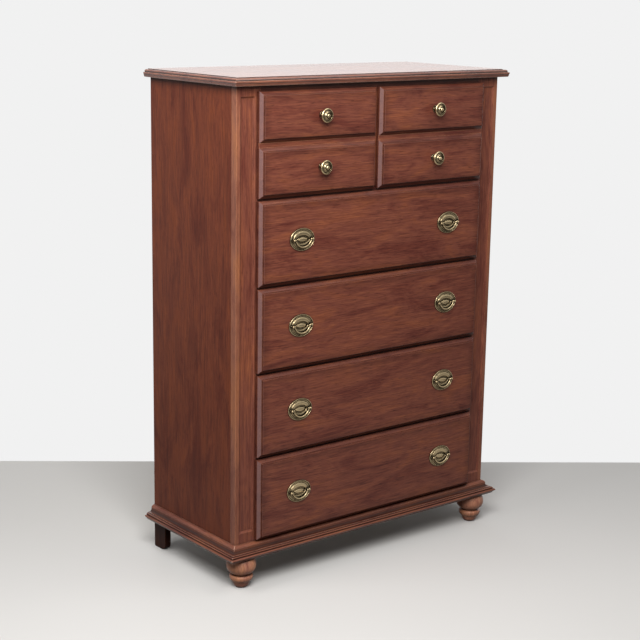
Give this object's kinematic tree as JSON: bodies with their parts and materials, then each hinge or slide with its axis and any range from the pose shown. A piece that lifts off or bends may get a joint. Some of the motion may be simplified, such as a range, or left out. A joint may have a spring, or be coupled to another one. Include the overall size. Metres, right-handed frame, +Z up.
{
  "type": "chest of drawers",
  "caption": "Tall stained-wood chest of drawers with raised drawer fronts, oval bail pulls, round knobs, a moulded base and turned front feet.",
  "frame": {"origin": "on the floor, midway between the sides and midway between the knobs' fronts and the back edge of the top", "axes": "+Z up, -Y towards the front with the drawers, +X to the right of someone facing the front"},
  "size_m": [0.988, 0.456, 1.372],
  "materials": {
    "stained_wood": "satin red-brown stain",
    "drawer_wood": "plain sanded",
    "panel_board": "plain plywood",
    "antique_brass": "antique brass"
  },
  "bodies": {
    "case": {"top_board": "stained_wood", "side_left": "stained_wood", "side_right": "stained_wood", "stile_left": "stained_wood", "stile_right": "stained_wood", "top_rail": "stained_wood", "rail_1": "stained_wood", "rail_2": "stained_wood", "rail_3": "stained_wood", "rail_4": "stained_wood", "bottom_rail": "stained_wood", "centre_stile": "stained_wood", "base_moulding_front": "stained_wood", "base_moulding_left": "stained_wood", "base_moulding_right": "stained_wood", "front_feet": "stained_wood", "rear_feet": "stained_wood", "runners": "drawer_wood", "rear_rails": "drawer_wood", "back_panel": "panel_board", "bottom_board": "panel_board"},
    "drawer_1_left": {"drawer_1_left_front": "stained_wood", "drawer_1_left_sides": "drawer_wood", "drawer_1_left_back": "drawer_wood", "drawer_1_left_bottom": "panel_board", "drawer_1_left_knobs": "antique_brass"},
    "drawer_1_right": {"drawer_1_right_front": "stained_wood", "drawer_1_right_sides": "drawer_wood", "drawer_1_right_back": "drawer_wood", "drawer_1_right_bottom": "panel_board", "drawer_1_right_knobs": "antique_brass"},
    "drawer_2": {"drawer_2_front": "stained_wood", "drawer_2_sides": "drawer_wood", "drawer_2_back": "drawer_wood", "drawer_2_bottom": "panel_board", "drawer_2_pull_plates": "antique_brass"},
    "drawer_2_bail_left": {"drawer_2_bail_left": "antique_brass"},
    "drawer_2_bail_right": {"drawer_2_bail_right": "antique_brass"},
    "drawer_3": {"drawer_3_front": "stained_wood", "drawer_3_sides": "drawer_wood", "drawer_3_back": "drawer_wood", "drawer_3_bottom": "panel_board", "drawer_3_pull_plates": "antique_brass"},
    "drawer_3_bail_left": {"drawer_3_bail_left": "antique_brass"},
    "drawer_3_bail_right": {"drawer_3_bail_right": "antique_brass"},
    "drawer_4": {"drawer_4_front": "stained_wood", "drawer_4_sides": "drawer_wood", "drawer_4_back": "drawer_wood", "drawer_4_bottom": "panel_board", "drawer_4_pull_plates": "antique_brass"},
    "drawer_4_bail_left": {"drawer_4_bail_left": "antique_brass"},
    "drawer_4_bail_right": {"drawer_4_bail_right": "antique_brass"},
    "drawer_5": {"drawer_5_front": "stained_wood", "drawer_5_sides": "drawer_wood", "drawer_5_back": "drawer_wood", "drawer_5_bottom": "panel_board", "drawer_5_pull_plates": "antique_brass"},
    "drawer_5_bail_left": {"drawer_5_bail_left": "antique_brass"},
    "drawer_5_bail_right": {"drawer_5_bail_right": "antique_brass"}
  },
  "joints": [
    {"name": "drawer_1_left_slide", "type": "slide", "parent": "case", "child": "drawer_1_left", "axis": [0, -1, 0], "range_m": [0, 0.28]},
    {"name": "drawer_1_right_slide", "type": "slide", "parent": "case", "child": "drawer_1_right", "axis": [0, -1, 0], "range_m": [0, 0.28]},
    {"name": "drawer_2_slide", "type": "slide", "parent": "case", "child": "drawer_2", "axis": [0, -1, 0], "range_m": [0, 0.28]},
    {"name": "drawer_2_bail_left_swing", "type": "hinge", "parent": "drawer_2", "child": "drawer_2_bail_left", "pos_m": [-0.263, -0.20615, 0.94575], "axis": [-1, 0, 0], "range_deg": [0, 150]},
    {"name": "drawer_2_bail_right_swing", "type": "hinge", "parent": "drawer_2", "child": "drawer_2_bail_right", "pos_m": [0.263, -0.20615, 0.94575], "axis": [-1, 0, 0], "range_deg": [0, 150]},
    {"name": "drawer_3_slide", "type": "slide", "parent": "case", "child": "drawer_3", "axis": [0, -1, 0], "range_m": [0, 0.28]},
    {"name": "drawer_3_bail_left_swing", "type": "hinge", "parent": "drawer_3", "child": "drawer_3_bail_left", "pos_m": [-0.263, -0.20615, 0.71325], "axis": [-1, 0, 0], "range_deg": [0, 150]},
    {"name": "drawer_3_bail_right_swing", "type": "hinge", "parent": "drawer_3", "child": "drawer_3_bail_right", "pos_m": [0.263, -0.20615, 0.71325], "axis": [-1, 0, 0], "range_deg": [0, 150]},
    {"name": "drawer_4_slide", "type": "slide", "parent": "case", "child": "drawer_4", "axis": [0, -1, 0], "range_m": [0, 0.28]},
    {"name": "drawer_4_bail_left_swing", "type": "hinge", "parent": "drawer_4", "child": "drawer_4_bail_left", "pos_m": [-0.263, -0.20615, 0.48075], "axis": [-1, 0, 0], "range_deg": [0, 150]},
    {"name": "drawer_4_bail_right_swing", "type": "hinge", "parent": "drawer_4", "child": "drawer_4_bail_right", "pos_m": [0.263, -0.20615, 0.48075], "axis": [-1, 0, 0], "range_deg": [0, 150]},
    {"name": "drawer_5_slide", "type": "slide", "parent": "case", "child": "drawer_5", "axis": [0, -1, 0], "range_m": [0, 0.28]},
    {"name": "drawer_5_bail_left_swing", "type": "hinge", "parent": "drawer_5", "child": "drawer_5_bail_left", "pos_m": [-0.263, -0.20615, 0.24825], "axis": [-1, 0, 0], "range_deg": [0, 150]},
    {"name": "drawer_5_bail_right_swing", "type": "hinge", "parent": "drawer_5", "child": "drawer_5_bail_right", "pos_m": [0.263, -0.20615, 0.24825], "axis": [-1, 0, 0], "range_deg": [0, 150]}
  ]
}
